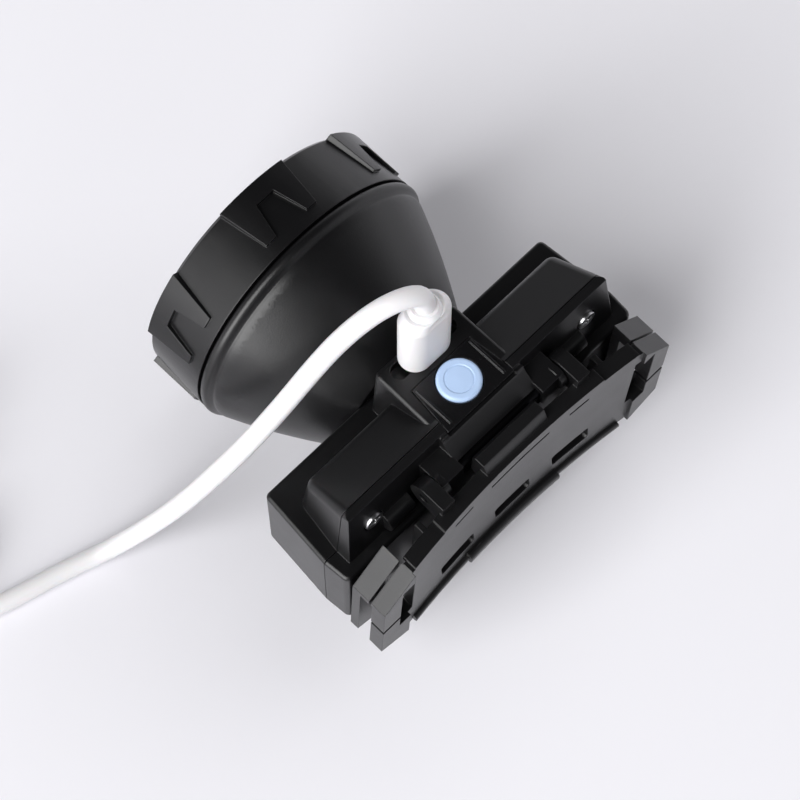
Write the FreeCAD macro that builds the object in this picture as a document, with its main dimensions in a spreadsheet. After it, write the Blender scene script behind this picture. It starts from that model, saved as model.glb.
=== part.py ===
"""Rechargeable cap lamp: a bowl-shaped head on a battery case, a hinged forehead bracket
and a charging cable plugged into the top.

Frame: +Z up, the beam leaves along -Y, the bracket is at +Y, and X runs along the case.
The origin is on the ground, under the middle of the lamp. Everything is in millimetres.
"""
import FreeCAD, Part
import math
import os
import re
import Sketcher

V = FreeCAD.Vector
X_AXIS, Y_AXIS, Z_AXIS = V(1, 0, 0), V(0, 1, 0), V(0, 0, 1)

# ---------------------------------------------------------------- driving dimensions
SIZES = {
    # battery case: front, seam and rear are places along Y, the rest are heights and widths
    "case_front": 4.25, "case_seam": 22.6, "case_rear": 28.9, "case_floor": 19.4, "deck": 43.1,
    "half_front": 39.3, "half_seam": 40.9, "half_rear": 40.4, "wall": 2.0,
    # dome over the cell bay, with its sloping top; heights above the deck
    "dome_front": 9.85, "dome_ridge": 22.6, "dome_rear": 25.9, "dome_half_front": 35.6,
    "dome_half_rear": 37.6, "dome_low": 11.3, "dome_top": 17.8, "dome_back": 17.0,
    "dome_draft": 5.4,
    # block that carries the port and the button
    "block_front": 5.75, "block_half": 11.5, "block_top": 17.2, "block_draft": 2.0,
    # head: heights from the ground, radii from the beam axis, places along Y
    "axis_height": 31.5, "gap_plane": -24.1, "rim_plane": -39.5, "lug_rad": 31.5, "base_rad": 31.0,
    "rim_rad": 30.2, "lip_bore": 25.6, "lip_thick": 1.9, "thread_rad": 28.2, "spigot_rad": 27.9,
    "spigot_front": -34.4, "bead_rad": 31.1, "bowl_rad": 29.9, "bowl_end_rad": 16.9, "neck_rad": 15.0,
    "shell": 2.2, "lug_depth": 12.2, "lug_half_front": 8.5, "lug_half_back": 6.9,
    "notch_depth": 4.6, "notch_half_front": 2.4, "notch_half_back": 4.2,
    # optics and heat path
    "lens_rad": 27.6, "lens_thick": 2.0, "gasket_thick": 1.0, "mirror_rad": 25.2,
    "mirror_neck": 5.5, "mirror_back": -9.0, "board_rad": 9.0, "sink_rad": 14.5,
    # button and port; rises and depths are from the block's top
    "panel_front": 14.1, "panel_rear": 25.2, "panel_half_front": 8.0, "panel_half_rear": 9.2,
    "panel_sink": 1.0, "panel_proud": 0.3, "button_place": 19.1, "button_rad": 4.6,
    "button_travel": 0.8, "button_proud": 1.1, "port_place": 9.45, "port_long": 17.0,
    "port_wide": 3.6, "port_deep": 2.4,
    # hinge and forehead bracket
    "hinge_place": 29.65, "hinge_height": 53.7, "pin_rad": 1.1, "pin_half": 20.2,
    "arm_in": 11.0, "arm_out": 16.9, "arm_rad": 2.8, "lug_in": 17.2, "lug_out": 20.4,
    "knuckle_rad": 3.6, "bracket_tilt": 2.5, "bracket_top": 53.0, "plate_low": 14.8,
    "apron_low": 0.16, "apron_half": 19.0, "lip_half": 30.0, "flange_half": 22.3,
    "face_mid": 36.4, "face_rad": 233.0, "plate_thick": 2.6, "flange_wide": 3.4,
    "flange_thick": 1.6, "wing_in": 32.4, "wing_out": 40.4, "wing_front": 30.6,
    "wing_rear": 39.5, "strap_front": 32.7, "strap_rear": 36.0, "strap_in": 33.8,
    # cell
    "cell_rad": 9.2, "cell_half": 32.5, "cell_place": 16.8, "cell_height": 31.0,
    # charging plug and cable
    "plug_long": 11.8, "plug_wide": 7.0, "plug_base": 60.3, "plug_shoulder": 77.2,
    "plug_neck": 80.0, "neck_rad_low": 3.9, "neck_rad_high": 2.75, "cable_exit": 81.4,
    "cable_dia": 4.2, "coil_rad": 23.0, "coil_x": 100.5, "coil_y": -57.75,
}

doc = FreeCAD.newDocument("cap_lamp")
dims = doc.addObject("Spreadsheet::Sheet", "Dims")
for row, (alias, size) in enumerate(SIZES.items(), start=1):
    dims.set(f"A{row}", str(size))
    dims.setAlias(f"A{row}", alias)
doc.recompute()

NODES = {}


# ---------------------------------------------------------------- helpers
def value(expression):
    """The number that an expression over the sheet's aliases gives."""
    return float(dims.evalExpression(str(expression)))


def bind(thing, path, expression):
    """Bind one property of an object to an expression over the sheet's aliases."""
    thing.setExpression(path, re.sub(r"\b([a-z_]{2,})\b(?!\()", r"Dims.\1", str(expression)))


def origin_feature(body, role):
    return next(item for item in body.Origin.OriginFeatures if item.Role == role)


def profile(body, name, plane, corners, arcs=None, offset=None):
    """A closed sketch through corners given as expression pairs.

    arcs maps the index of an edge to its radius; a positive radius bulges to the right of travel.
    """
    arcs = arcs or {}
    sketch = body.newObject("Sketcher::SketchObject", name)
    sketch.AttachmentSupport = (origin_feature(body, plane), "")
    sketch.MapMode = "FlatFace"
    if offset is not None:
        bind(sketch, "AttachmentOffset.Base.z", offset)
    points = [V(value(x), value(y), 0) for x, y in corners]
    ends = []
    for index, start in enumerate(points):
        end = points[(index + 1) % len(points)]
        if index not in arcs:
            sketch.addGeometry(Part.LineSegment(start, end), False)
            ends.append((1, 2))
            continue
        radius = value(arcs[index])
        chord = end - start
        rise = abs(radius) - math.sqrt(radius ** 2 - chord.Length ** 2 / 4)
        right = V(chord.y, -chord.x, 0).normalize()
        middle = (start + end) * 0.5 + right * math.copysign(rise, radius)
        if radius > 0:
            sketch.addGeometry(Part.Arc(start, middle, end), False)
            ends.append((1, 2))
        else:
            sketch.addGeometry(Part.Arc(end, middle, start), False)
            ends.append((2, 1))
    count = len(points)
    for index in range(count):
        after = (index + 1) % count
        sketch.addConstraint(
            Sketcher.Constraint("Coincident", index, ends[index][1], after, ends[after][0]))
    for index, corner in enumerate(corners):
        for kind, expression in zip(("DistanceX", "DistanceY"), corner):
            number = sketch.addConstraint(
                Sketcher.Constraint(kind, -1, 1, index, ends[index][0], value(expression)))
            bind(sketch, f"Constraints[{number}]", expression)
    for index, radius in arcs.items():
        number = sketch.addConstraint(Sketcher.Constraint("Radius", index, abs(value(radius))))
        bind(sketch, f"Constraints[{number}]", radius.lstrip("-"))
    return sketch


def new_body(label, height=None):
    body = doc.addObject("PartDesign::Body", label)
    body.Label = label
    if height is not None:
        bind(body, "Placement.Base.z", height)
    return body


def add_feature(body, kind, name, sketch):
    feature = body.newObject(f"PartDesign::{kind}", name)
    feature.Profile = sketch
    return feature


def turned(body, name, corners, arcs=None, cut=False):
    """A revolution, or a groove, about the body's own Y axis; corners are (radius, place)."""
    sketch = profile(body, f"{name}_sketch", "XY_Plane", corners, arcs)
    feature = add_feature(body, "Groove" if cut else "Revolution", name, sketch)
    feature.ReferenceAxis = (origin_feature(body, "Y_Axis"), [""])
    feature.Angle = 360
    return feature


def padded(body, name, corners, length, base=None, arcs=None, draft=None, plane="XY_Plane"):
    sketch = profile(body, f"{name}_sketch", plane, corners, arcs, base)
    feature = add_feature(body, "Pad", name, sketch)
    bind(feature, "Length", length)
    if draft is not None:
        bind(feature, "TaperAngle", f"-{draft}")
    return feature


def pocketed(body, name, corners, length, plane, arcs=None):
    """A pocket that cuts the same way on both sides of one of the body's planes."""
    sketch = profile(body, f"{name}_sketch", plane, corners, arcs)
    feature = add_feature(body, "Pocket", name, sketch)
    feature.SideType = "Symmetric"
    bind(feature, "Length", length)
    return feature


def round_edges(body, name, radius, wanted):
    """Fillet every edge of the body's shape so far for which wanted(edge) holds."""
    doc.recompute()
    base = body.Tip
    names = [f"Edge{n}" for n, edge in enumerate(base.Shape.Edges, start=1) if wanted(edge)]
    if not names:
        raise RuntimeError(f"{body.Label}: no edge found for {name}")
    fillet = body.newObject("PartDesign::Fillet", name)
    fillet.Base = (base, names)
    fillet.Radius = radius
    doc.recompute()
    return fillet


def is_upright(edge):
    start, end = edge.Vertexes[0].Point, edge.Vertexes[-1].Point
    return abs((end - start).normalize().z) > 0.9 if (end - start).Length > 0.01 else False


def box(name, x_span, y_span, z_span):
    """A Part box between two places along each axis, given as expressions."""
    item = doc.addObject("Part::Box", name)
    item.Label = name
    for side, axis, (low, high) in zip(("Length", "Width", "Height"), "xyz",
                                       (x_span, y_span, z_span)):
        bind(item, side, f"({high}) - ({low})")
        bind(item, f"Placement.Base.{axis}", low)
    return item


def mirrored_span(half):
    return (f"-({half})", half)


def rod(name, axis, radius, start, end, places):
    """A cylinder along one axis; places are its positions along the two other axes, in order."""
    item = doc.addObject("Part::Cylinder", name)
    item.Label = name
    bind(item, "Radius", radius)
    bind(item, "Height", f"({end}) - ({start})")
    turns = {"x": FreeCAD.Rotation(Y_AXIS, 90), "y": FreeCAD.Rotation(X_AXIS, -90),
             "z": FreeCAD.Rotation()}
    item.Placement = FreeCAD.Placement(V(0, 0, 0), turns[axis])
    bind(item, f"Placement.Base.{axis}", start)
    for other, place in zip([letter for letter in "xyz" if letter != axis], places):
        bind(item, f"Placement.Base.{other}", place)
    return item


def join(name, items):
    item = doc.addObject("Part::MultiFuse", name)
    item.Label = name
    item.Shapes = items
    item.Refine = True
    return item


def overlap(name, items):
    item = doc.addObject("Part::MultiCommon", name)
    item.Label = name
    item.Shapes = items
    return item


def cut(name, base, tools):
    item = doc.addObject("Part::Cut", name)
    item.Label = name
    item.Base = base
    item.Tool = tools[0] if len(tools) == 1 else join(f"{name}_tools", tools)
    item.Refine = True
    return item


def group(name, items):
    """Separate solids kept together in one node."""
    item = doc.addObject("Part::Compound", name)
    item.Label = name
    item.Links = items
    return item


def feature_from(name, shape):
    item = doc.addObject("Part::Feature", name)
    item.Label = name
    item.Shape = shape
    return item


def node(item):
    """List an object as one of the lamp's pieces."""
    NODES[item.Label] = item
    return item


# ---------------------------------------------------------------- head
def make_bezel():
    """Screw ring with six U-shaped grip lugs, an inner lip that holds the lens and a thread bore."""
    body = new_body("bezel_ring", "axis_height")
    rear, front = "gap_plane - 0.35", "rim_plane"
    turned(body, "cone", [("0", front), ("rim_rad - 0.8", front), ("rim_rad", "rim_plane + 0.8"),
                          ("base_rad", rear), ("0", rear)])
    lug_front, lug_back = "rim_plane + 0.5", "rim_plane + lug_depth"
    notch = "rim_plane + notch_depth"
    padded(body, "lug", [("lug_half_front", lug_front), ("lug_half_back", lug_back),
                         ("notch_half_back", lug_back), ("notch_half_front", notch),
                         ("-notch_half_front", notch), ("-notch_half_back", lug_back),
                         ("-lug_half_back", lug_back), ("-lug_half_front", lug_front)],
           "lug_rad + 2")
    doc.recompute()
    pattern = body.newObject("PartDesign::PolarPattern", "lugs")
    pattern.Originals = [body.getObject("lug")] if hasattr(body, "getObject") else [body.Tip]
    pattern.Axis = (origin_feature(body, "Y_Axis"), [""])
    pattern.Angle = 360
    pattern.Occurrences = 6
    body.Tip = pattern
    doc.recompute()
    turned(body, "lug_trim", [("lug_rad", "rim_plane - 2"), ("lug_rad + 9", "rim_plane - 2"),
                              ("lug_rad + 9", "gap_plane + 2"), ("lug_rad", "gap_plane + 2")],
           cut=True)
    turned(body, "bore", [("0", "rim_plane - 1"), ("lip_bore + 0.8", "rim_plane - 1"),
                          ("lip_bore", "rim_plane + 0.9"), ("lip_bore", "rim_plane + lip_thick"),
                          ("thread_rad", "rim_plane + lip_thick"),
                          ("thread_rad", "gap_plane + 1"), ("0", "gap_plane + 1")], cut=True)
    return node(body)


def make_optics():
    lens_front = "rim_plane + lip_thick"
    lens_rear = f"{lens_front} + lens_thick"
    lens = new_body("front_lens", "axis_height")
    turned(lens, "disc", [("0", lens_front), ("lens_rad - 0.4", lens_front),
                          ("lens_rad", f"{lens_front} + 0.4"), ("lens_rad", lens_rear),
                          ("0", lens_rear)])
    node(lens)
    gasket = new_body("lens_gasket", "axis_height")
    turned(gasket, "ring", [("mirror_rad + 0.3", lens_rear), ("lens_rad", lens_rear),
                            ("lens_rad", f"{lens_rear} + gasket_thick"),
                            ("mirror_rad + 0.3", f"{lens_rear} + gasket_thick")])
    node(gasket)
    mirror = new_body("reflector", "axis_height")
    turned(mirror, "bowl", [("mirror_rad - 0.9", "spigot_front"), ("mirror_rad", "spigot_front"),
                            ("mirror_neck + 1", "mirror_back"), ("mirror_neck", "mirror_back")],
           arcs={1: "42", 3: "-43"})
    node(mirror)
    board = new_body("led_board", "axis_height")
    turned(board, "disc", [("0", "mirror_back + 0.6"), ("board_rad", "mirror_back + 0.6"),
                           ("board_rad", "mirror_back + 2.2"), ("0", "mirror_back + 2.2")])
    node(board)
    chip = new_body("led_emitter", "axis_height")
    turned(chip, "dome", [("0", "mirror_back - 2.2"), ("2.5", "mirror_back"),
                          ("3.4", "mirror_back"), ("3.4", "mirror_back + 0.6"),
                          ("0", "mirror_back + 0.6")], arcs={0: "2.6"})
    node(chip)
    plate = rod("sink_plate", "y", "sink_rad", "mirror_back + 2.2", "mirror_back + 4.4",
                ("0", "axis_height"))
    fins = [box(f"sink_fin_{n}", (f"{x - 0.7}", f"{x + 0.7}"),
                ("mirror_back + 4.2", "mirror_back + 9.5"),
                ("axis_height - 7.5", "axis_height + 7.5"))
            for n, x in enumerate((-7.5, -2.5, 2.5, 7.5), start=1)]
    node(join("heat_sink", [plate] + fins))


def make_housing():
    """Bowl behind the bezel: threaded spigot, rolled bead, curved wall and a neck into the case."""
    body = new_body("lamp_housing", "axis_height")
    gap, neck_end = "gap_plane", "case_front + 2.6"
    turned(body, "wall", [
        ("spigot_rad - shell", "spigot_front"), ("spigot_rad", "spigot_front"),
        ("spigot_rad", gap), ("bead_rad - 0.7", gap), ("bead_rad - 0.7", "gap_plane + 2.5"),
        ("bowl_rad", "gap_plane + 3.1"), ("bowl_rad", "gap_plane + 4"),
        ("bowl_end_rad", "case_front"), ("neck_rad - 3.4", "case_front"),
        ("neck_rad - 3.4", neck_end), ("neck_rad - 5.6", neck_end),
        ("neck_rad - 5.6", "case_front - 1.8"), ("bowl_end_rad - shell", "case_front - 1.8"),
        ("bowl_rad - shell", "gap_plane + 4.4"), ("spigot_rad - shell", "gap_plane + 1.5")],
        arcs={3: "1.45", 6: "150", 12: "-148"})
    return node(body)


# ---------------------------------------------------------------- battery case
def panel_outline(side_gap, rear_gap):
    """The button panel's outline, wider towards the hinge, with a gap round it."""
    return [(f"-panel_half_front - {side_gap}", f"panel_front - {side_gap}"),
            (f"panel_half_front + {side_gap}", f"panel_front - {side_gap}"),
            (f"panel_half_rear + {side_gap}", f"panel_rear + {rear_gap}"),
            (f"-panel_half_rear - {side_gap}", f"panel_rear + {rear_gap}")]


def make_case():
    """Front and rear shells, split at the seam, both cut from one envelope and its cavity."""
    outer = new_body("case_envelope")
    padded(outer, "case_block", [("-half_front", "case_front"), ("half_front", "case_front"),
                                 ("half_seam", "case_seam"), ("half_rear", "case_rear"),
                                 ("-half_rear", "case_rear"), ("-half_seam", "case_seam")],
           "deck - case_floor", base="case_floor")
    mid_y = value("(case_front + case_rear) / 2")
    round_edges(outer, "front_corners", 1.3,
                lambda edge: is_upright(edge) and edge.CenterOfMass.y < mid_y - 8)
    round_edges(outer, "rear_corners", 1.6,
                lambda edge: is_upright(edge) and edge.CenterOfMass.y > mid_y + 11)
    deck, floor = value("deck"), value("case_floor")
    round_edges(outer, "deck_edge", 0.9, lambda edge: abs(edge.BoundBox.ZMin - deck) < 0.01)
    round_edges(outer, "floor_edge", 1.4, lambda edge: abs(edge.BoundBox.ZMax - floor) < 0.01)

    dome = new_body("dome_envelope")
    padded(dome, "dome_block", [("-dome_half_front", "dome_front"), ("dome_half_front", "dome_front"),
                                ("dome_half_rear", "dome_ridge"),
                                ("dome_half_rear", "dome_rear + 0.6"),
                                ("-dome_half_rear", "dome_rear + 0.6"),
                                ("-dome_half_rear", "dome_ridge")],
           "dome_top + 6", base="deck - 3", draft="dome_draft")
    slope = "(dome_top - dome_low) / (dome_ridge - dome_front - 1.2)"
    pocketed(dome, "dome_slope", [
        ("dome_front - 6", f"deck + dome_low - 7.2 * {slope}"),
        ("dome_ridge", "deck + dome_top"),
        ("dome_rear", "deck + dome_back"), ("dome_rear + 5", "deck + dome_back - 3"),
        ("dome_rear + 5", "deck + dome_top + 12"), ("dome_front - 6", "deck + dome_top + 12")],
        "200", "YZ_Plane")
    top = value("deck + dome_low") - 1.5
    ridge = value("dome_ridge")
    round_edges(dome, "dome_front_edge", 2.8,
                lambda edge: edge.BoundBox.ZMin > top - 3 and edge.BoundBox.YMax < value("dome_front") + 4
                and edge.Length > 40)
    round_edges(dome, "dome_ends", 2.2,
                lambda edge: abs(edge.CenterOfMass.x) > 33 and edge.CenterOfMass.y < ridge
                and edge.BoundBox.ZMin > deck - 4 and edge.BoundBox.ZMax > deck + 8
                and edge.Length > 7)

    block = new_body("block_envelope")
    padded(block, "port_block", [("-block_half", "block_front"), ("block_half", "block_front"),
                                 ("block_half + 0.3", "dome_rear - 0.2"),
                                 ("-block_half - 0.3", "dome_rear - 0.2")],
           "block_top + 3", base="deck - 3", draft="block_draft")
    round_edges(block, "block_corners", 1.2,
                lambda edge: is_upright(edge) and edge.CenterOfMass.y < value("block_front") + 4)
    block_top = value("deck + block_top")
    round_edges(block, "block_rim", 0.9,
                lambda edge: edge.BoundBox.ZMin > block_top - 0.1)

    # parting line and raised panel frame
    lower = value("wall")
    cavity = [
        box("cell_bay", mirrored_span("half_front - 2.4"),
            ("case_front + wall", "case_rear - wall"), ("case_floor + wall", "deck - wall")),
        box("dome_bay", mirrored_span("dome_half_front - 3.6"),
            ("dome_front + 2.6", "dome_rear - 2.2"), ("deck - wall - 1", "deck + dome_low - 2.2")),
        box("block_bay", mirrored_span("block_half - 2.6"),
            ("block_front + 1.9", "dome_rear - 2.2"), ("deck - wall - 1", "deck + block_top - 3.6")),
        rod("neck_hole", "y", "neck_rad - 3.35", "case_front - 3", "case_front + wall + 1",
            ("0", "axis_height"))]
    whole = join("case_solid", [outer, dome, block])
    hollow = cut("case_hollow", whole, cavity)

    front_zone = box("front_zone", mirrored_span("60"), ("case_front - 20", "case_seam"),
                     ("0", "100"))
    rear_zone = box("rear_zone", mirrored_span("60"), ("case_seam + 0.15", "case_rear + 20"),
                    ("0", "100"))
    port_floor = "deck + block_top - port_deep"
    port_cut = join("port_recess", [
        box("port_middle", mirrored_span("port_long / 2 - port_wide / 2"),
            ("port_place - port_wide / 2", "port_place + port_wide / 2"),
            (port_floor, "deck + block_top + 5"))] + [
        rod(f"port_end_{tag}", "z", "port_wide / 2", port_floor, "deck + block_top + 5",
            (place, "port_place"))
        for tag, place in (("right", "port_long / 2 - port_wide / 2"),
                           ("left", "-(port_long / 2 - port_wide / 2)"))])
    socket_cut = box("socket_window", mirrored_span("4.0"),
                     ("port_place - 1.65", "port_place + 1.65"),
                     ("deck + block_top - 6", "deck + block_top"))
    recess = new_body("panel_recess")
    padded(recess, "recess_block", panel_outline("0.12", "0.55"), "panel_sink + 6",
           base="deck + block_top - panel_sink")
    switch_cut = rod("button_well", "z", "button_rad + 0.35", "deck + block_top - 6",
                     "deck + block_top + 2", ("0", "button_place"))
    lower_groove = box("parting_line", mirrored_span("half_seam + 2"),
                       ("case_front - 1", "case_front + 0.35"), ("case_floor + 10.5", "case_floor + 10.9"))
    bosses = []
    holes = []
    for tag, x, z in screw_places():
        bosses.append(rod(f"boss_{tag}", "y", "2.4", "dome_front + 2.0" if z > value("deck")
                          else "case_front + 1.8", "case_seam", (f"{x}", f"{z}")))
        holes.append(rod(f"screw_hole_{tag}", "y", "1.3", "case_seam - 11", "case_rear + 5",
                         (f"{x}", f"{z}")))
        holes.append(rod(f"screw_seat_{tag}", "y", "2.5", screw_seat(z), "case_rear + 5",
                         (f"{x}", f"{z}")))
    front_shell = overlap("front_shell", [hollow, front_zone])
    front = cut("front_case", join("front_with_bosses", [front_shell] + bosses),
                [port_cut, socket_cut, recess, switch_cut, lower_groove] + holes)
    node(front)

    arms = []
    for side, (low, high) in (("right", ("arm_in", "arm_out")), ("left", ("-arm_out", "-arm_in"))):
        arms.append(box(f"arm_{side}", (low, high), ("dome_rear - 1.2", "hinge_place + 1.7"),
                        ("hinge_height - arm_rad", "hinge_height + arm_rad")))
        end_low, end_high = (("arm_out - 1.5", high) if side == "right" else (low, "1.5 - arm_out"))
        arms.append(rod(f"knuckle_{side}", "x", "arm_rad + 0.25", end_low, end_high,
                        ("hinge_place", "hinge_height")))
        bulge = ("lug_in + 3.6", "dome_half_front - 8") if side == "right" else (
            "8 - dome_half_front", "-lug_in - 3.6")
        arms.append(rod(f"bay_bulge_{side}", "x", "3.0", *bulge, ("dome_rear - 0.6", "deck + 4.2")))
    web = new_body("hinge_web")
    padded(web, "web_wedge", [("dome_rear - 1.2", "deck + 16.6"), ("dome_rear - 0.3", "deck + 16.9"),
                              ("dome_rear + 0.15", "deck + 15.7"), ("dome_rear + 3.4", "deck + 12.3"),
                              ("dome_rear + 3.4", "deck + 11.2"), ("dome_rear - 1.2", "deck + 11.2")],
           "arm_in * 2 + 0.4", plane="YZ_Plane", base="-arm_in - 0.2")
    pin_hole = rod("pin_hole", "x", "pin_rad + 0.05", "-60", "60", ("hinge_place", "hinge_height"))
    rear_shell = overlap("rear_shell", [hollow, rear_zone])
    rear = cut("rear_case", join("rear_with_arms", [rear_shell] + arms + [web]),
               [pin_hole, switch_cut, recess] + holes)
    node(rear)


def screw_places():
    """Four case screws: two beside the hinge, in the dome's rear face, and two low in the corners."""
    high, low = value("deck + 8.4"), value("case_floor + 3.9")
    return [("upper_right", 29.8, high), ("upper_left", -29.8, high),
            ("lower_right", 36.4, low), ("lower_left", -36.4, low)]


def screw_seat(height):
    return "dome_rear - 1.6" if height > value("deck") else "case_rear - 2.1"


def make_screws():
    screws = []
    for tag, x, z in screw_places():
        seat = screw_seat(z)
        shank = rod(f"shank_{tag}", "y", "1.2", "case_seam - 10", f"{seat} + 0.2", (f"{x}", f"{z}"))
        head = rod(f"head_{tag}", "y", "2.2", seat, f"{seat} + 1.5", (f"{x}", f"{z}"))
        bars = [box(f"cross_{tag}_{n}", (f"{x} - {a}", f"{x} + {a}"),
                    (f"{seat} + 0.7", f"{seat} + 3"), (f"{z} - {b}", f"{z} + {b}"))
                for n, (a, b) in enumerate(((1.4, 0.28), (0.28, 1.4)))]
        screws.append(cut(f"screw_{tag}", join(f"blank_{tag}", [shank, head]), bars))
    node(group("case_screws", screws))


def make_electrics():
    node(rod("battery_cell", "x", "cell_rad", "-cell_half", "cell_half",
             ("cell_place", "cell_height")))
    node(box("contact_positive", ("cell_half", "cell_half + 0.6"),
             ("cell_place - 6", "cell_place + 6"), ("cell_height - 6", "cell_height + 6")))
    leaf = new_body("contact_negative")
    padded(leaf, "leaf", [("-cell_half - 3.4", "cell_place - 6"), ("-cell_half - 2.8", "cell_place - 6"),
                          ("-cell_half - 2.8", "cell_place + 4.2"), ("-cell_half", "cell_place + 1"),
                          ("-cell_half", "cell_place + 2"), ("-cell_half - 2.6", "cell_place + 6"),
                          ("-cell_half - 3.4", "cell_place + 6")], "8", base="cell_height - 4")
    node(leaf)
    node(box("charge_board", mirrored_span("27"), ("dome_front + 3.2", "case_seam - 0.3"),
             ("deck + 2.6", "deck + 3.8")))
    riser = box("riser_board", mirrored_span("6"), ("port_place + 1.55", "port_place + 2.55"),
                ("deck + 3.8", "deck + 12.6"))
    node(riser)
    shell = box("socket_shell", mirrored_span("3.85"), ("port_place - 1.55", "port_place + 1.55"),
                ("deck + 8.2", "deck + block_top - port_deep - 0.3"))
    mouth = box("socket_mouth", mirrored_span("3.5"), ("port_place - 1.2", "port_place + 1.2"),
                ("deck + 8.8", "deck + block_top"))
    node(cut("usb_socket", shell, [mouth]))
    base = box("switch_base", mirrored_span("3.1"), ("button_place - 3.1", "button_place + 3.1"),
               ("deck + 8.6", "deck + 11.8"))
    stem = rod("switch_stem", "z", "1.6", "deck + 11.6", "deck + block_top - 3.6",
               ("0", "button_place"))
    node(join("tact_switch", [base, stem]))
    node(box("switch_board", mirrored_span("7.6"), ("port_place + 3.0", "dome_rear - 2.6"),
             ("deck + 7.6", "deck + 8.6")))
    wires = []
    for name, x in (("lead_red", 1.6), ("lead_black", -1.6)):
        path = Part.Wire([Part.LineSegment(V(x * 3, value("mirror_back + 9.7"), value("axis_height") + 6.6),
                                           V(x * 3, value("case_front + 1.9"), value("axis_height") + 6.6)).toShape()])
        ring = Part.Wire([Part.Circle(path.Vertexes[0].Point, Y_AXIS, 0.6).toShape()])
        wires.append(feature_from(name, path.makePipeShell([ring], True, False)))
    node(group("lead_wires", wires))


def make_button():
    """Inset panel with a round well, and the button that travels in it."""
    top = "deck + block_top"
    plate = new_body("panel_plate")
    padded(plate, "panel_slab", panel_outline("0", "0"), "panel_sink + panel_proud",
           base=f"{top} - panel_sink")
    ribs = [box(f"panel_rib_{tag}", (low, high), ("panel_front + 0.6", "panel_rear - 1.0"),
                (f"{top} + panel_proud - 0.2", f"{top} + panel_proud + 0.45"))
            for tag, (low, high) in (("right", ("panel_half_front - 0.9", "panel_half_front - 0.3")),
                                     ("left", ("0.3 - panel_half_front", "0.9 - panel_half_front")))]
    well = rod("panel_well", "z", "button_rad + 0.2", f"{top} - 3", f"{top} + 3",
               ("0", "button_place"))
    node(cut("button_panel", join("panel_with_ribs", [plate] + ribs), [well]))
    cap = new_body("button_cap")
    bind(cap, "Placement.Base.y", "button_place")
    low, high = f"{top} - 2.6", f"{top} + button_proud"
    sketch = profile(cap, "cap_sketch", "XZ_Plane", [
        ("0", low), ("button_rad", low), ("button_rad", f"{high} - 0.7"),
        ("button_rad - 0.6", high), ("3.1", high), ("2.95", f"{high} - 0.18"),
        ("2.6", f"{high} - 0.1"), ("0", f"{high} - 0.02")], arcs={2: "0.75"})
    turn = add_feature(cap, "Revolution", "cap_turn", sketch)
    turn.ReferenceAxis = (origin_feature(cap, "Z_Axis"), [""])
    turn.Angle = 360
    node(cap)


# ---------------------------------------------------------------- bracket
def curved_bar(name, half, front, rear, low, thickness):
    """A bar that follows the bracket's concave rear face, between two distances behind that face."""
    body = new_body(name)
    sag = f"(face_rad - sqrt(face_rad ^ 2 - ({half}) ^ 2))"
    padded(body, f"{name}_pad", [
        (f"-({half})", f"face_mid + {sag} + {rear}"), (f"-({half})", f"face_mid + {sag} + {front}"),
        (half, f"face_mid + {sag} + {front}"), (half, f"face_mid + {sag} + {rear}")],
        thickness, base=low, arcs={1: f"face_rad - ({front})", 3: f"-(face_rad - ({rear}))"})
    return body


def across(side, low, high):
    """A span along X on the right side, or its mirror image on the left."""
    return (low, high) if side == "right" else (f"-({high})", f"-({low})")


def bracket_solids():
    plate = curved_bar("bracket_plate", "wing_in + 0.6", "-plate_thick", "0", "plate_low",
                       "bracket_top - plate_low")
    flange = curved_bar("bracket_flange", "flange_half", "-flange_wide", "0", "bracket_top - 0.4",
                        "flange_thick")
    shelf = curved_bar("bracket_shelf", "wing_in - 1.0", "-flange_wide", "0", "bracket_top - 1.2",
                       "flange_thick")
    lip = curved_bar("bracket_lip", "lip_half", "-1.2", "1.0", "plate_low - 0.6", "2.4")
    round_edges(lip, "lip_roll", 0.9, lambda edge: edge.Length > 40
                and edge.CenterOfMass.y > value("face_mid") + 1)
    bulge = curved_bar("lip_bulge", "13", "-1.2", "1.7", "plate_low - 1.2", "3.6")
    round_edges(bulge, "bulge_roll", 1.3, lambda edge: edge.Length > 20
                and edge.CenterOfMass.y > value("face_mid") + 1)
    apron = new_body("bracket_apron")
    padded(apron, "apron_plate", [
        ("face_mid - 3.2", "plate_low + 5"), ("face_mid - 0.8", "plate_low + 5"),
        ("face_mid - 4.6", "apron_low"), ("face_mid - 7.0", "apron_low")],
        "apron_half * 2", plane="YZ_Plane", base="-apron_half")
    stop = new_body("bracket_stop")
    padded(stop, "stop_block", [
        ("hinge_place + 1.35", "bracket_top - 3"), ("face_mid - 1.0", "bracket_top - 3"),
        ("face_mid - 1.0", "bracket_top + 1"), ("hinge_place + 4.6", "deck + 13.4"),
        ("hinge_place + 4.2", "deck + 13.9"), ("hinge_place + 1.9", "deck + 13.9"),
        ("hinge_place + 1.25", "deck + 13.2")],
        "16.8", plane="YZ_Plane", base="-8.4")
    solids = [plate, flange, shelf, lip, bulge, apron, stop]
    for side in ("right", "left"):
        solids.append(box(f"wing_{side}", across(side, "wing_in", "wing_out"),
                          ("wing_front", "wing_rear"), ("plate_low", "bracket_top")))
        lug = across(side, "lug_in", "lug_out")
        solids.append(box(f"lug_arm_{side}", lug, ("hinge_place", "face_mid - 1.6"),
                          ("hinge_height - knuckle_rad", "hinge_height + knuckle_rad")))
        solids.append(rod(f"lug_round_{side}", "x", "knuckle_rad", *lug,
                          ("hinge_place", "hinge_height")))
        for n, x in enumerate(("6.4", "24.6")):
            solids.append(box(f"rib_{side}_{n}", across(side, f"{x} - 0.6", f"{x} + 0.6"),
                              ("face_mid - 4.4", "face_mid - 1.2"), ("plate_low + 4", "bracket_top")))
    return solids


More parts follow.
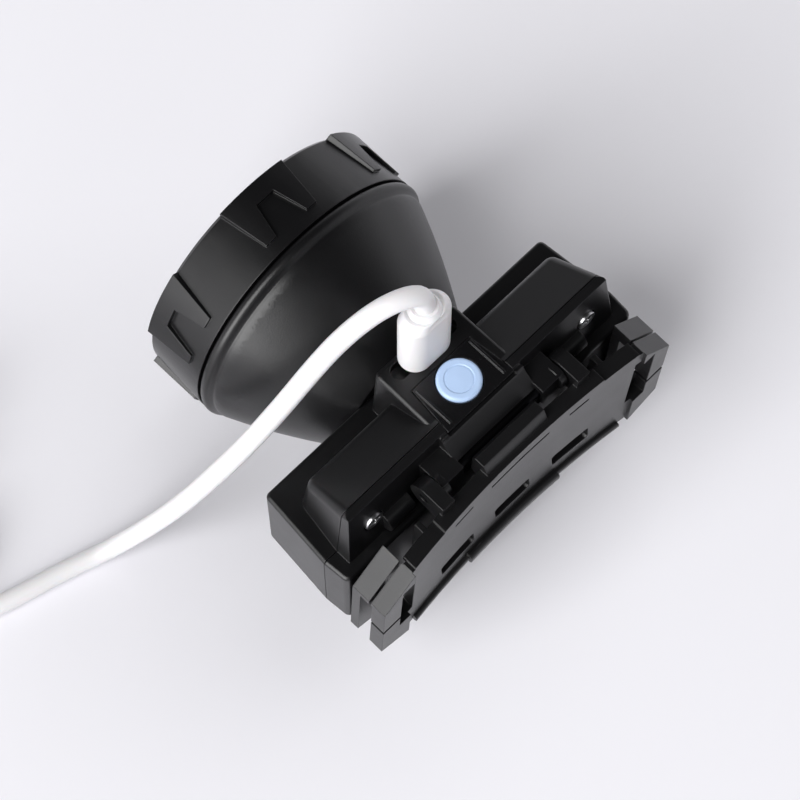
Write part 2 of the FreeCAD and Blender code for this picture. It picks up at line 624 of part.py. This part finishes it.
def bracket_outline(side):
    """Cuts the corners off: the top slopes down to the wing's end, and the bottom up to it."""
    sign, far = ("" if side == "right" else "-"), "wing_out + 9"
    corners = [("wing_in - 1.2", "bracket_top + 9"), ("wing_in - 1.2", "bracket_top + 0.9"),
               ("wing_in", "bracket_top - 0.1"), ("wing_out", "deck + 0.9"), ("wing_out", "deck - 24.5"),
               ("wing_in", "plate_low"), ("wing_in", "plate_low - 9"), (far, "plate_low - 9"),
               (far, "bracket_top + 9")]
    trim = new_body(f"bracket_outline_{side}")
    sketch = profile(trim, f"corner_{side}", "XZ_Plane", [(f"{sign}({x})", z) for x, z in corners])
    pad = add_feature(trim, "Pad", f"corner_pad_{side}", sketch)
    pad.SideType = "Symmetric"
    pad.Length = 200
    return trim


def bracket_cuts():
    cuts = []
    for side in ("right", "left"):
        cuts.append(bracket_outline(side))
        outer = across(side, "strap_in", "wing_out + 3")
        cuts.append(box(f"strap_gap_{side}", outer, ("strap_front", "strap_rear"),
                        ("plate_low - 3", "deck - 0.9")))
        cuts.append(box(f"top_slit_{side}", across(side, "wing_in - 0.6", "wing_out + 3"),
                        ("strap_rear - 0.9", "strap_rear - 0.4"), ("deck - 2", "bracket_top + 9")))
        cuts.append(box(f"strap_window_{side}", across(side, "strap_in - 2.8", "strap_in + 1.8"),
                        ("strap_front", "wing_rear + 3"), ("deck - 17", "deck + 5")))
        cuts.append(box(f"post_slit_{side}", across(side, "strap_in + 1.4", "wing_out + 3"),
                        ("strap_rear - 1", "wing_rear + 3"), ("deck - 11.8", "deck - 10.4")))
    for tag, x in (("right", 16.4), ("middle", 0.0), ("left", -16.4)):
        slot = new_body(f"slot_{tag}")
        padded(slot, f"slot_pad_{tag}", [
            (f"{x + 5.4}", "deck - 14.9"), (f"{x - 4.6}", "deck - 14.9"),
            (f"{x - 5.4}", "deck - 21.3"), (f"{x + 4.6}", "deck - 21.3")],
            "14", plane="XZ_Plane", base="-face_mid - 5")
        round_edges(slot, f"slot_corners_{tag}", 0.9, lambda edge: abs(edge.Length - 14) < 0.1)
        cuts.append(slot)
    for tag, x, half in (("right", 16.2, 2.6), ("middle", 0.0, 8.1), ("left", -16.2, 2.6)):
        cuts.append(box(f"vent_{tag}", (f"{x - half}", f"{x + half}"),
                        ("face_mid - 9", "face_mid + 9"), ("deck + 5.8", "deck + 6.8")))
    cuts.append(rod("lug_pin_hole", "x", "pin_rad + 0.05", "-60", "60",
                    ("hinge_place", "hinge_height")))
    return cuts


def make_bracket():
    """Curved forehead plate with a flange, slots, a rolled lip, strap loops and hinge lugs."""
    bracket = cut("forehead_bracket", join("bracket_blank", bracket_solids()), bracket_cuts())
    bracket.Placement = FreeCAD.Placement(
        V(0, 0, 0), FreeCAD.Rotation(X_AXIS, -value("bracket_tilt")),
        V(0, value("hinge_place"), value("hinge_height")))
    node(bracket)


def make_hinge_pin():
    node(rod("hinge_pin", "x", "pin_rad", "-pin_half", "pin_half", ("hinge_place", "hinge_height")))


# ---------------------------------------------------------------- charging cable
def stadium(length, width, height, y):
    """A closed wire of stadium shape, long along X, at a height."""
    half, radius = (length - width) / 2, width / 2
    right, left = V(half, y, height), V(-half, y, height)
    up = V(0, radius, 0)
    arc_right = Part.Arc(right - up, right + V(radius, 0, 0), right + up).toShape()
    arc_left = Part.Arc(left + up, left - V(radius, 0, 0), left - up).toShape()
    top = Part.LineSegment(right + up, left + up).toShape()
    low = Part.LineSegment(left - up, right - up).toShape()
    return Part.Wire([arc_right, top, arc_left, low])


def make_plug():
    place = value("port_place")
    long_side, wide_side = value("plug_long"), value("plug_wide")
    base, shoulder, neck = value("plug_base"), value("plug_shoulder"), value("plug_neck")
    body = Part.Face(stadium(long_side, wide_side, base, place)).extrude(V(0, 0, shoulder - base))
    foot = [edge for edge in body.Edges if abs(edge.BoundBox.ZMax - base) < 0.01]
    body = body.makeFillet(0.5, foot)
    crown = Part.makeLoft([
        stadium(long_side, wide_side, shoulder, place),
        stadium(long_side - 1.2, wide_side - 0.4, shoulder + 1.2, place),
        stadium(value("neck_rad_low * 2 + 0.6"), value("neck_rad_low * 2") - 0.9, neck, place)],
        True, False)
    node(feature_from("usb_plug", body.fuse(crown).removeSplitter()))
    relief = doc.addObject("Part::Cone", "plug_relief")
    relief.Label = "plug_relief"
    bind(relief, "Radius1", "neck_rad_low - 0.45")
    bind(relief, "Radius2", "neck_rad_high")
    bind(relief, "Height", "cable_exit - plug_neck")
    bind(relief, "Placement.Base.y", "port_place")
    bind(relief, "Placement.Base.z", "plug_neck")
    node(relief)
    shell = box("plug_tongue", mirrored_span("3.4"), ("port_place - 0.9", "port_place + 0.9"),
                ("deck + 9.6", "plug_base"))
    node(shell)


# The cable's route as a hand-set list of points: out of the plug, over the bowl, down to the
# ground beside the lamp and along it to the coil.
CABLE_ROUTE = [
    (0.0, 9.45, 81.4), (0.05, 9.5, 85.9), (3.6, 8.2, 89.2), (9.2, 6.0, 88.3), (15.6, 3.3, 81.8),
    (21.8, 1.5, 73.9), (29.2, -0.6, 62.6), (36.2, -3.7, 49.6), (42.4, -7.8, 36.0), (48.0, -12.2, 22.6),
    (53.6, -17.2, 10.2), (61.4, -21.6, 2.9), (70.8, -25.0, 2.3), (80.8, -27.6, 2.25),
    (91.2, -30.7, 2.25), (101.0, -32.6, 2.3)]
TAIL_ROUTE = [
    (123.5, -57.75, 5.85), (122.4, -63.1, 7.0), (119.4, -67.6, 8.9), (114.9, -70.7, 10.8),
    (109.5, -71.75, 12.1), (104.5, -71.75, 12.4)]


def rounded_tube(name, points, diameter):
    """A round tube along straight runs joined by tangent arcs, each as large as its runs allow."""
    corners = [V(*point) for point in points]
    edges = []
    radii = []
    start = corners[0]
    for before, corner, after in zip(corners, corners[1:], corners[2:]):
        into, out = (corner - before), (after - corner)
        shorter = min(into.Length, out.Length)
        into.normalize()
        out.normalize()
        turn = into.getAngle(out)
        setback = 0.45 * shorter
        radius = setback / math.tan(turn / 2)
        radii.append(round(radius, 1))
        first, last = corner - into * setback, corner + out * setback
        inward = (out - into).normalize()
        middle = corner + inward * (radius / math.cos(turn / 2) - radius)
        edges.append(Part.LineSegment(start, first).toShape())
        edges.append(Part.Arc(first, middle, last).toShape())
        start = last
    edges.append(Part.LineSegment(start, corners[-1]).toShape())
    path = Part.Wire(edges)
    ring = Part.Circle(corners[0], corners[1] - corners[0], diameter / 2).toShape()
    solid = path.makePipeShell([Part.Wire([ring])], True, False)
    expected = math.pi * diameter ** 2 / 4 * path.Length
    print(f"{name}: length {path.Length:.1f}, radii {radii}, "
          f"volume over section times length {solid.Volume / expected:.4f}")
    return node(feature_from(name, solid))


def make_cable():
    diameter = value("cable_dia")
    rounded_tube("cable_tube", CABLE_ROUTE, diameter)
    rounded_tube("cable_tail", TAIL_ROUTE, diameter)
    coil = new_body("cable_coil")
    bind(coil, "Placement.Base.x", "coil_x")
    bind(coil, "Placement.Base.y", "coil_y")
    profile_points = [
        ("coil_rad - cable_dia", "0"), ("coil_rad + cable_dia", "0"),
        ("coil_rad + cable_dia", "cable_dia"), ("coil_rad + cable_dia / 2", "cable_dia * 1.87"),
        ("coil_rad - cable_dia / 2", "cable_dia * 1.87"), ("coil_rad - cable_dia", "cable_dia")]
    sketch = profile(coil, "coil_sketch", "XZ_Plane", profile_points)
    turn = add_feature(coil, "Revolution", "coil_turn", sketch)
    turn.ReferenceAxis = (origin_feature(coil, "Z_Axis"), [""])
    turn.Angle = 360
    node(coil)
    reach, rise = "coil_rad + cable_dia + 0.9", "cable_dia * 1.87 + 0.9"
    outer = box("tie_outer", (f"coil_x - ({reach})", "coil_x - (coil_rad - cable_dia - 0.9)"),
                ("coil_y - 2", "coil_y + 2"), ("0", rise))
    inner = box("tie_inner", ("coil_x - (coil_rad + cable_dia)", "coil_x - (coil_rad - cable_dia)"),
                ("coil_y - 3", "coil_y + 3"), ("-1", "cable_dia * 1.87"))
    node(cut("coil_tie", outer, [inner]))


def make_far_plug():
    """The full-size plug on the far end, lying across the coil."""
    x, y, z = TAIL_ROUTE[-1]
    half_thick, half_wide, grip_long, shell_long = 3.8, 7.8, 24.0, 12.0
    corners = [(0, -3.2), (-2.4, -6.4), (-7.0, -half_wide), (-grip_long, -half_wide),
               (-grip_long, half_wide), (-7.0, half_wide), (-2.4, 6.4), (0, 3.2)]
    body = new_body("supply_plug")
    padded(body, "grip", [(f"{x + dx}", f"{y + dy}") for dx, dy in corners], f"{2 * half_thick}",
           base=f"{z - half_thick}")
    round_edges(body, "grip_corners", 1.6, is_upright)
    round_edges(body, "grip_edges", 1.0,
                lambda edge: abs(edge.CenterOfMass.z - z) > half_thick - 0.1)
    node(body)
    shell_end = x - grip_long - shell_long
    node(box("supply_contact", (f"{shell_end}", f"{x - grip_long}"), (f"{y - 6}", f"{y + 6}"),
             (f"{z - 2.25}", f"{z + 2.25}")))


# ---------------------------------------------------------------- build and write
for make in (make_bezel, make_optics, make_housing, make_case, make_screws, make_electrics,
             make_button, make_bracket, make_hinge_pin, make_plug, make_cable, make_far_plug):
    make()
doc.recompute()

for item in doc.Objects:
    if {"Invalid", "Error"} & set(item.State):
        raise RuntimeError(f"{item.Label} failed: {item.State}")
for label, item in NODES.items():
    if item.Shape.isNull() or not item.Shape.isValid():
        raise RuntimeError(f"{label} has no valid shape")

os.makedirs("parts", exist_ok=True)
for label, item in NODES.items():
    item.Shape.exportStep(os.path.join("parts", f"{label}.step"))
    span = item.Shape.BoundBox
    print(f"{label}: {len(item.Shape.Solids)} solid, {item.Shape.Volume:.0f} mm3, "
          f"x {span.XMin:.2f}..{span.XMax:.2f} y {span.YMin:.2f}..{span.YMax:.2f} "
          f"z {span.ZMin:.2f}..{span.ZMax:.2f}")
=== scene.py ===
"""The miner's cap lamp: camera, charging cable, finishes, edge rounds and studio light."""
import math

import bpy
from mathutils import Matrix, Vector


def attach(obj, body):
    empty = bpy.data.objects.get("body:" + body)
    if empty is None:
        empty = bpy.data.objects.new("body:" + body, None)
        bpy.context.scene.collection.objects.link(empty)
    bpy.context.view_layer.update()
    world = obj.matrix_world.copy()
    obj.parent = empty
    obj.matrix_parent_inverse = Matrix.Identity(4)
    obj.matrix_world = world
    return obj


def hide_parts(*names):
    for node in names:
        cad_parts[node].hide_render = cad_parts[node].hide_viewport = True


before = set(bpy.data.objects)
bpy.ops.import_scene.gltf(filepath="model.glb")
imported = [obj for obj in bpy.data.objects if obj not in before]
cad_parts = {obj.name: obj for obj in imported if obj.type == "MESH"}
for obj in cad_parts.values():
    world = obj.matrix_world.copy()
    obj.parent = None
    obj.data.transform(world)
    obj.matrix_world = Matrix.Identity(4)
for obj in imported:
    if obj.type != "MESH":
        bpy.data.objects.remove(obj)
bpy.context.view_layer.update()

MM = 0.001


def mm(*numbers):
    """A point or a size given in millimetres."""
    return Vector(numbers) * MM


def link(obj):
    bpy.context.scene.collection.objects.link(obj)
    return obj


# ---------------------------------------------------------------- camera
def make_camera():
    """Looks steeply down on the lamp from behind it, with the beam pointing up and left."""
    azimuth, elevation, distance = math.radians(134.9), math.radians(68.33), 618.13
    target = mm(-0.50, 2.42, 19.75)
    back = Vector((math.sin(azimuth) * math.cos(elevation),
                   -math.cos(azimuth) * math.cos(elevation),
                   math.sin(elevation)))
    data = bpy.data.cameras.new("camera")
    data.sensor_width = 36
    data.lens = 133.6
    data.clip_start, data.clip_end = 0.05, 10
    camera = link(bpy.data.objects.new("camera", data))
    camera.location = target + back * distance * MM
    camera.rotation_euler = (-back).to_track_quat("-Z", "Y").to_euler()
    bpy.context.scene.camera = camera


# ---------------------------------------------------------------- charging cable
CABLE_DIA = 4.2
COIL_CENTRE = (100.5, -57.75)
COIL_RAD = 23.0

# out of the plug, over the bowl and along the ground to the coil, in millimetres
CABLE_ROUTE = [
    (0.0, 9.45, 81.4), (0.05, 9.5, 85.9), (3.6, 8.2, 89.2), (9.2, 6.0, 88.3),
    (15.6, 3.3, 81.8), (21.8, 1.5, 73.9), (29.2, -0.6, 62.6), (36.2, -3.7, 49.6),
    (42.4, -7.8, 36.0), (48.0, -12.2, 22.6), (53.6, -17.2, 10.2), (61.4, -21.6, 2.9),
    (70.8, -25.0, 2.3), (80.8, -27.6, 2.25), (91.2, -30.7, 2.25), (101.0, -32.6, 2.3)]
# off the top of the coil and round on to the supply plug, which lies across it
TAIL_ROUTE = [
    (122.4, -63.1, 7.0), (119.4, -67.6, 8.9), (114.9, -70.7, 10.8), (109.5, -71.75, 12.1),
    (104.5, -71.75, 12.4)]


def eased(t):
    """0 before 0, 1 after 1, and smooth between them."""
    t = min(max(t, 0.0), 1.0)
    return t * t * (3 - 2 * t)


def coil_turns():
    """Points every 15 degrees, clockwise from above: an outer turn and an inner turn on the
    ground, then a turn on top that rests between them."""
    start, total, step = 75, 795, 15
    outer, floor = COIL_RAD + CABLE_DIA / 2, CABLE_DIA / 2 + 0.1
    points = []
    for travelled in range(0, total + 1, step):
        radius, height = outer, floor
        radius -= CABLE_DIA * eased((travelled - 285) / 60)
        if travelled >= 615:
            roll = math.radians(60) * eased((travelled - 615) / 45)
            radius = outer - CABLE_DIA * math.cos(roll)
            height = floor + CABLE_DIA * math.sin(roll)
        if 620 < travelled < 740:
            height += 0.65 * math.sin(math.pi * (travelled - 620) / 120) ** 2
        angle = math.radians(start - travelled)
        points.append((COIL_CENTRE[0] + radius * math.cos(angle),
                       COIL_CENTRE[1] + radius * math.sin(angle), height))
    return points


def make_cable():
    route = CABLE_ROUTE + coil_turns() + TAIL_ROUTE
    curve = bpy.data.curves.new("cable", "CURVE")
    curve.dimensions = "3D"
    curve.bevel_depth = CABLE_DIA / 2 * MM
    curve.bevel_resolution = 8
    curve.resolution_u = 12
    spline = curve.splines.new("NURBS")
    spline.points.add(len(route) - 1)
    for point, place in zip(spline.points, route):
        point.co = (*mm(*place), 1)
    spline.order_u = 3
    spline.use_endpoint_u = True
    curve.materials.append(cable_skin)
    cable = link(bpy.data.objects.new("charging_cable", curve))
    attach(cable, "root")
    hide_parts("cable_tube", "cable_coil", "cable_tail")


# ---------------------------------------------------------------- finishes
# radius of the softened edges, and size of the patches of unequal gloss, in millimetres
SOFT_EDGE = 0.28
GLOSS_PATCH = 9


def new_material(name, colour, roughness, metallic=0.0, **sockets):
    """A Principled material; sockets are its other inputs, with _ for a space."""
    material = bpy.data.materials.new(name)
    material.use_nodes = True
    shader = material.node_tree.nodes["Principled BSDF"]
    shader.inputs["Base Color"].default_value = (*colour, 1)
    shader.inputs["Roughness"].default_value = roughness
    shader.inputs["Metallic"].default_value = metallic
    for socket, number in sockets.items():
        shader.inputs[socket.replace("_", " ")].default_value = number
    return material, shader


def add_grain(material, shader, size, height, uneven=0.0, roughness=0.5):
    """Moulded grain: a fine bump, its size and height in mm, over softened edges.

    With uneven above 0 the gloss also varies by that much in broad patches.
    """
    nodes, links = material.node_tree.nodes, material.node_tree.links
    place = nodes.new("ShaderNodeTexCoord")
    grain = nodes.new("ShaderNodeTexNoise")
    grain.inputs["Scale"].default_value = 1 / (size * MM)
    grain.inputs["Detail"].default_value = 3
    grain.inputs["Roughness"].default_value = 0.6
    bump = nodes.new("ShaderNodeBump")
    bump.inputs["Strength"].default_value = 1
    bump.inputs["Distance"].default_value = height * MM
    links.new(place.outputs["Object"], grain.inputs["Vector"])
    links.new(grain.outputs["Fac"], bump.inputs["Height"])
    links.new(bump.outputs["Normal"], shader.inputs["Normal"])
    soft_edge = nodes.new("ShaderNodeBevel")
    soft_edge.samples = 6
    soft_edge.inputs["Radius"].default_value = SOFT_EDGE * MM
    links.new(soft_edge.outputs["Normal"], bump.inputs["Normal"])
    if uneven:
        patch = nodes.new("ShaderNodeTexNoise")
        patch.inputs["Scale"].default_value = 1 / (GLOSS_PATCH * MM)
        patch.inputs["Detail"].default_value = 4
        spread = nodes.new("ShaderNodeMapRange")
        spread.inputs["To Min"].default_value = roughness - uneven
        spread.inputs["To Max"].default_value = roughness + uneven
        links.new(place.outputs["Object"], patch.inputs["Vector"])
        links.new(patch.outputs["Fac"], spread.inputs["Value"])
        links.new(spread.outputs["Result"], shader.inputs["Roughness"])
    return material


def plastic(name, colour, roughness, size, height, uneven=0.05, **sockets):
    """A grained plastic or rubber."""
    material, shader = new_material(name, colour, roughness, **sockets)
    return add_grain(material, shader, size, height, uneven, roughness)


def metal(name, colour, roughness, size, height):
    """A bare metal with a fine surface grain."""
    return add_grain(*new_material(name, colour, roughness, 1.0), size, height)


cable_skin = plastic("cable_skin", (0.76, 0.75, 0.76), 0.42, 0.25, 0.004, Subsurface_Weight=0.1,
                     Subsurface_Scale=0.001)

make_camera()
make_cable()

DARK = (0.0042, 0.0041, 0.0046)
FINISHES = {
    "bezel_plastic": plastic("bezel_plastic", DARK, 0.32, 0.36, 0.017, 0.04),
    "housing_plastic": plastic("housing_plastic", DARK, 0.32, 0.36, 0.019, 0.04),
    "case_plastic": plastic("case_plastic", DARK, 0.33, 0.34, 0.010, 0.04),
    "panel_plastic": plastic("panel_plastic", DARK, 0.26, 0.25, 0.004, 0.04),
    "bracket_plastic": plastic("bracket_plastic", DARK, 0.36, 0.38, 0.022, 0.04),
    "seal_rubber": plastic("seal_rubber", (0.02, 0.02, 0.02), 0.7, 0.2, 0.004),
    "button_blue": plastic("button_blue", (0.43, 0.57, 0.80), 0.35, 0.3, 0.002),
    "cable_white": cable_skin,
    "tie_white": plastic("tie_white", (0.72, 0.72, 0.72), 0.5, 0.3, 0.01),
    "cell_wrap": plastic("cell_wrap", (0.03, 0.12, 0.36), 0.3, 0.5, 0.003),
    "switch_plastic": plastic("switch_plastic", (0.03, 0.03, 0.03), 0.4, 0.3, 0.003),
    "wire_skin": plastic("wire_skin", (0.35, 0.03, 0.03), 0.4, 0.3, 0.003),
    "board": plastic("board", (0.02, 0.16, 0.07), 0.35, 0.6, 0.006),
    "emitter": plastic("emitter", (0.85, 0.70, 0.15), 0.3, 0.3, 0.003),
    "screw_steel": metal("screw_steel", (0.56, 0.56, 0.57), 0.28, 0.3, 0.003),
    "pin_steel": metal("pin_steel", (0.02, 0.02, 0.022), 0.35, 0.3, 0.003),
    "contact_metal": metal("contact_metal", (0.70, 0.69, 0.66), 0.25, 0.3, 0.002),
    "sink_metal": metal("sink_metal", (0.60, 0.60, 0.61), 0.38, 0.3, 0.004),
    "mirror_finish": metal("mirror_finish", (0.90, 0.90, 0.91), 0.06, 2.2, 0.004),
    "lens_glass": add_grain(*new_material("lens_glass", (0.98, 0.99, 1.0), 0.03,
                                          Transmission_Weight=1.0, IOR=1.5), 4.0, 0.001),
}


# ---------------------------------------------------------------- CAD nodes
# The round asked for on each node's sharp edges, in millimetres. The clamp against overlaps leaves
# almost none of it on the two case shells and the bracket, and about a sixth on the bezel ring:
# there the soft edges come from the shader.
EDGE_ROUNDS = {
    "front_case": 0.22, "rear_case": 0.18, "forehead_bracket": 0.22, "button_panel": 0.10,
    "bezel_ring": 0.20, "lamp_housing": 0.20, "hinge_pin": 0.15, "coil_tie": 0.30,
    "supply_contact": 0.25, "case_screws": 0.08, "heat_sink": 0.12, "usb_plug": 0.15}
WELD_GAP = 0.001
FLAT_ANGLE = math.radians(0.4)
SHARP_ANGLE = math.radians(28)


def round_off(obj, width):
    """Merges a CAD mesh's flat facets and rounds its sharp edges as far as the clamp allows."""
    mesh = obj.data
    mesh.attributes.remove(mesh.attributes["custom_normal"])
    mesh.polygons.foreach_set("use_smooth", [True] * len(mesh.polygons))
    weld = obj.modifiers.new("weld", "WELD")
    weld.merge_threshold = WELD_GAP * MM
    flat = obj.modifiers.new("flat", "DECIMATE")
    flat.decimate_type = "DISSOLVE"
    flat.angle_limit = FLAT_ANGLE
    edges = obj.modifiers.new("edges", "BEVEL")
    edges.width = width * MM
    edges.segments = 2
    edges.limit_method = "ANGLE"
    edges.angle_limit = SHARP_ANGLE
    edges.use_clamp_overlap = True
    shade = obj.modifiers.new("shade", "WEIGHTED_NORMAL")
    shade.weight = 80


def finish_nodes():
    """Gives every shown CAD node its finish, and asks for edge rounds on the listed ones."""
    for name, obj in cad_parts.items():
        slot = obj.material_slots[0].material.name.split(".")[0]
        obj.material_slots[0].material = FINISHES[slot]
        if name in EDGE_ROUNDS:
            round_off(obj, EDGE_ROUNDS[name])


finish_nodes()


# ---------------------------------------------------------------- studio
HORIZON_LIGHT, ZENITH_LIGHT = 1.1, 0.06
SIDE_LIGHT, BACK_LIGHT = 1.0, 0.14
FLOOR_SIZE = 6
LAMP_MIDDLE = (0, 0, 0.03)


def make_floor():
    bpy.ops.mesh.primitive_plane_add(size=FLOOR_SIZE)
    floor = bpy.context.object
    floor.name = "floor"
    paper = new_material("floor_paper", (0.84, 0.832, 0.872), 0.8)[0]
    floor.data.materials.append(paper)


def area_light(name, place, size, power, mirrored=True):
    """A soft light aimed at the lamp; unless mirrored, glossy surfaces don't reflect it."""
    data = bpy.data.lights.new(name, "AREA")
    data.shape = "RECTANGLE"
    data.size, data.size_y = size
    data.energy = power
    light = link(bpy.data.objects.new(name, data))
    light.visible_glossy = mirrored
    light.location = place
    light.rotation_euler = (Vector(LAMP_MIDDLE) - Vector(place)).to_track_quat("-Z", "Y").to_euler()


def make_world():
    """A studio bright low down at the lamp's two ends, and dim overhead, in front and behind."""
    world = bpy.data.worlds.new("studio")
    world.use_nodes = True
    nodes, links = world.node_tree.nodes, world.node_tree.links
    way = nodes.new("ShaderNodeTexCoord")
    parts = nodes.new("ShaderNodeSeparateXYZ")
    ramp = nodes.new("ShaderNodeValToRGB")
    ramp.color_ramp.interpolation = "EASE"
    for n, (height, light) in enumerate(((0.0, HORIZON_LIGHT), (0.85, ZENITH_LIGHT))):
        stop = ramp.color_ramp.elements[n]
        stop.position = height
        stop.color = (light * 0.985, light * 0.98, light * 1.02, 1)
    sideways = nodes.new("ShaderNodeMath")
    sideways.operation = "ABSOLUTE"
    spread = nodes.new("ShaderNodeMapRange")
    spread.inputs["From Min"].default_value = 0.15
    spread.inputs["From Max"].default_value = 0.85
    spread.inputs["To Min"].default_value = BACK_LIGHT
    spread.inputs["To Max"].default_value = SIDE_LIGHT
    shade = nodes["Background"]
    links.new(way.outputs["Generated"], parts.inputs["Vector"])
    links.new(parts.outputs["Z"], ramp.inputs["Fac"])
    links.new(parts.outputs["X"], sideways.inputs[0])
    links.new(sideways.outputs["Value"], spread.inputs["Value"])
    links.new(spread.outputs["Result"], shade.inputs["Strength"])
    links.new(ramp.outputs["Color"], shade.inputs["Color"])
    bpy.context.scene.world = world
    bpy.context.scene.view_settings.view_transform = "Standard"


make_floor()
make_world()
area_light("softbox", (1.9, 0.12, 1.3), (1.7, 2.8), 84)
area_light("back_fill", (0.15, 2.4, 1.9), (1.8, 1.0), 3)
area_light("room_glow", (-2.1, 0.3, 2.1), (4, 4), 40, mirrored=False)
